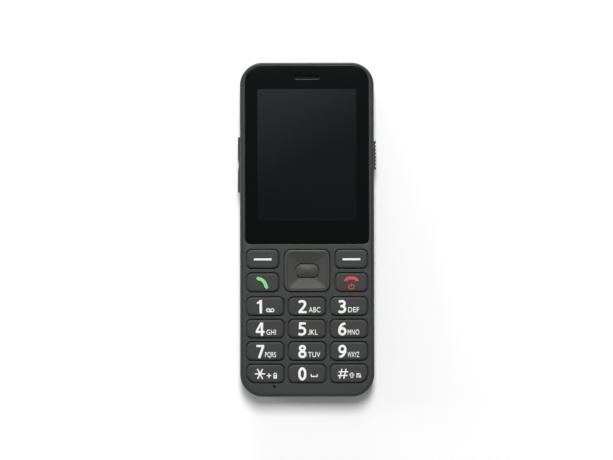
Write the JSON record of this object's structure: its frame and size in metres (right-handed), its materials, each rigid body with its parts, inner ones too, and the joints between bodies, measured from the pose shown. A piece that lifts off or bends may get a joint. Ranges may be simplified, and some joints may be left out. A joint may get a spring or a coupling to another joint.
{
  "type": "senior mobile phone",
  "caption": "Bar-shaped keypad mobile phone for seniors: display window over a navigation block and large raised keys, side rocker, torch slider, back cover.",
  "frame": {"origin": "middle of the flat back face, the centre of the whole box's bottom", "axes": "+Z out of the display, +Y towards the earpiece end, +X to the right of the reader"},
  "size_m": [0.0514, 0.1242, 0.0137],
  "materials": {
    "case_plastic": "satin dark grey",
    "cover_plastic": "fine texture, dark grey",
    "key_plastic": "satin dark grey",
    "nav_plastic": "satin, slightly metallic dark grey",
    "window_gloss": "gloss black, printed from behind",
    "key_legend": "white print",
    "call_legend": "green print",
    "end_legend": "red print",
    "rubber": "soft grey",
    "inner_plastic": "moulded, plain",
    "adhesive": "foam tape",
    "display_glass": "polarised, dark when off",
    "tray_plastic": "white moulded",
    "flex_film": "amber film",
    "board": "solder mask",
    "steel": "plain sheet",
    "switch_plastic": "black moulded",
    "led": "phosphor yellow",
    "lens": "clear lens",
    "sos_plastic": "red satin",
    "battery_case": "wrapped cell",
    "antenna_plating": "gold plated"
  },
  "bodies": {
    "phone_case": {"front_housing": "case_plastic", "rear_chassis": "inner_plastic", "display_window": "window_gloss", "window_adhesive": "adhesive", "display_gasket": "rubber", "lcd_glass": "display_glass", "lcd_tray": "tray_plastic", "lcd_flex": "flex_film", "earpiece_mesh": "steel", "earpiece_receiver": "steel", "keypad_membrane": "rubber", "dome_sheet": "steel", "main_pcb": "board", "volume_switch_upper": "switch_plastic", "volume_switch_lower": "switch_plastic", "torch_switch": "switch_plastic", "torch_led": "led", "torch_lens": "lens", "sos_switch": "switch_plastic", "battery_connector": "switch_plastic", "loudspeaker": "switch_plastic", "vibration_motor": "steel", "microphone": "steel", "mic_boot": "rubber", "usb_socket": "steel", "antenna": "antenna_plating", "shield_can": "steel", "sim_holder": "steel", "housing_screw_top_left": "steel", "housing_screw_top_right": "steel", "housing_screw_bottom_left": "steel", "housing_screw_bottom_right": "steel"},
    "key_1": {"key_1": "key_plastic"},
    "key_2": {"key_2": "key_plastic"},
    "key_3": {"key_3": "key_plastic"},
    "key_4": {"key_4": "key_plastic"},
    "key_5": {"key_5": "key_plastic"},
    "key_6": {"key_6": "key_plastic"},
    "key_7": {"key_7": "key_plastic"},
    "key_8": {"key_8": "key_plastic"},
    "key_9": {"key_9": "key_plastic"},
    "key_star": {"key_star": "key_plastic"},
    "key_0": {"key_0": "key_plastic"},
    "key_hash": {"key_hash": "key_plastic"},
    "soft_key_left": {"soft_key_left": "key_plastic"},
    "soft_key_right": {"soft_key_right": "key_plastic"},
    "call_key": {"call_key": "key_plastic"},
    "end_key": {"end_key": "key_plastic"},
    "select_key": {"select_key": "nav_plastic"},
    "nav_rocker_web": {"nav_rocker_web": "rubber"},
    "nav_key": {"nav_key": "nav_plastic"},
    "volume_rocker": {"volume_rocker": "key_plastic"},
    "torch_slider": {"torch_slider": "key_plastic"},
    "sos_key": {"sos_key": "sos_plastic"},
    "battery_cover": {"battery_cover": "cover_plastic"},
    "battery": {"battery": "battery_case"}
  },
  "joints": [
    {"name": "key_1_press", "type": "slide", "parent": "phone_case", "child": "key_1", "axis": [0, 0, -1], "range_m": [0, 0.0004], "stiffness_N_per_m": 3000},
    {"name": "key_2_press", "type": "slide", "parent": "phone_case", "child": "key_2", "axis": [0, 0, -1], "range_m": [0, 0.0004], "stiffness_N_per_m": 3000},
    {"name": "key_3_press", "type": "slide", "parent": "phone_case", "child": "key_3", "axis": [0, 0, -1], "range_m": [0, 0.0004], "stiffness_N_per_m": 3000},
    {"name": "key_4_press", "type": "slide", "parent": "phone_case", "child": "key_4", "axis": [0, 0, -1], "range_m": [0, 0.0004], "stiffness_N_per_m": 3000},
    {"name": "key_5_press", "type": "slide", "parent": "phone_case", "child": "key_5", "axis": [0, 0, -1], "range_m": [0, 0.0004], "stiffness_N_per_m": 3000},
    {"name": "key_6_press", "type": "slide", "parent": "phone_case", "child": "key_6", "axis": [0, 0, -1], "range_m": [0, 0.0004], "stiffness_N_per_m": 3000},
    {"name": "key_7_press", "type": "slide", "parent": "phone_case", "child": "key_7", "axis": [0, 0, -1], "range_m": [0, 0.0004], "stiffness_N_per_m": 3000},
    {"name": "key_8_press", "type": "slide", "parent": "phone_case", "child": "key_8", "axis": [0, 0, -1], "range_m": [0, 0.0004], "stiffness_N_per_m": 3000},
    {"name": "key_9_press", "type": "slide", "parent": "phone_case", "child": "key_9", "axis": [0, 0, -1], "range_m": [0, 0.0004], "stiffness_N_per_m": 3000},
    {"name": "key_star_press", "type": "slide", "parent": "phone_case", "child": "key_star", "axis": [0, 0, -1], "range_m": [0, 0.0004], "stiffness_N_per_m": 3000},
    {"name": "key_0_press", "type": "slide", "parent": "phone_case", "child": "key_0", "axis": [0, 0, -1], "range_m": [0, 0.0004], "stiffness_N_per_m": 3000},
    {"name": "key_hash_press", "type": "slide", "parent": "phone_case", "child": "key_hash", "axis": [0, 0, -1], "range_m": [0, 0.0004], "stiffness_N_per_m": 3000},
    {"name": "soft_key_left_press", "type": "slide", "parent": "phone_case", "child": "soft_key_left", "axis": [0, 0, -1], "range_m": [0, 0.0004], "stiffness_N_per_m": 3000},
    {"name": "soft_key_right_press", "type": "slide", "parent": "phone_case", "child": "soft_key_right", "axis": [0, 0, -1], "range_m": [0, 0.0004], "stiffness_N_per_m": 3000},
    {"name": "call_key_press", "type": "slide", "parent": "phone_case", "child": "call_key", "axis": [0, 0, -1], "range_m": [0, 0.0004], "stiffness_N_per_m": 3000},
    {"name": "end_key_press", "type": "slide", "parent": "phone_case", "child": "end_key", "axis": [0, 0, -1], "range_m": [0, 0.0004], "stiffness_N_per_m": 3000},
    {"name": "select_key_press", "type": "slide", "parent": "phone_case", "child": "select_key", "axis": [0, 0, -1], "range_m": [0, 0.0004], "stiffness_N_per_m": 3000},
    {"name": "nav_tilt_up_down", "type": "hinge", "parent": "phone_case", "child": "nav_rocker_web", "pos_m": [0, -0.01533, 0.01], "axis": [1, 0, 0], "range_deg": [-2, 2], "stiffness_Nm_per_rad": 0.2},
    {"name": "nav_tilt_left_right", "type": "hinge", "parent": "nav_rocker_web", "child": "nav_key", "pos_m": [0, -0.01533, 0.01], "axis": [0, 1, 0], "range_deg": [-2, 2], "stiffness_Nm_per_rad": 0.2},
    {"name": "volume_rock", "type": "hinge", "parent": "phone_case", "child": "volume_rocker", "pos_m": [-0.0234, 0.02413, 0.00907], "axis": [0, 0, 1], "range_deg": [-2.2, 2.2], "stiffness_Nm_per_rad": 0.3},
    {"name": "torch_slide", "type": "slide", "parent": "phone_case", "child": "torch_slider", "axis": [0, 1, 0], "range_m": [0, 0.002]},
    {"name": "sos_key_press", "type": "slide", "parent": "phone_case", "child": "sos_key", "axis": [0, 0, 1], "range_m": [0, 0.0004], "stiffness_N_per_m": 3000},
    {"name": "cover_removal", "type": "slide", "parent": "phone_case", "child": "battery_cover", "axis": [0, 0, -1], "range_m": [0, 0.024]},
    {"name": "battery_removal", "type": "slide", "parent": "phone_case", "child": "battery", "axis": [0, 0, -1], "range_m": [0, 0.012]}
  ],
  "couplings": [
    {"joint": "battery_removal", "follows": "cover_removal", "ratio": 0.5}
  ]
}
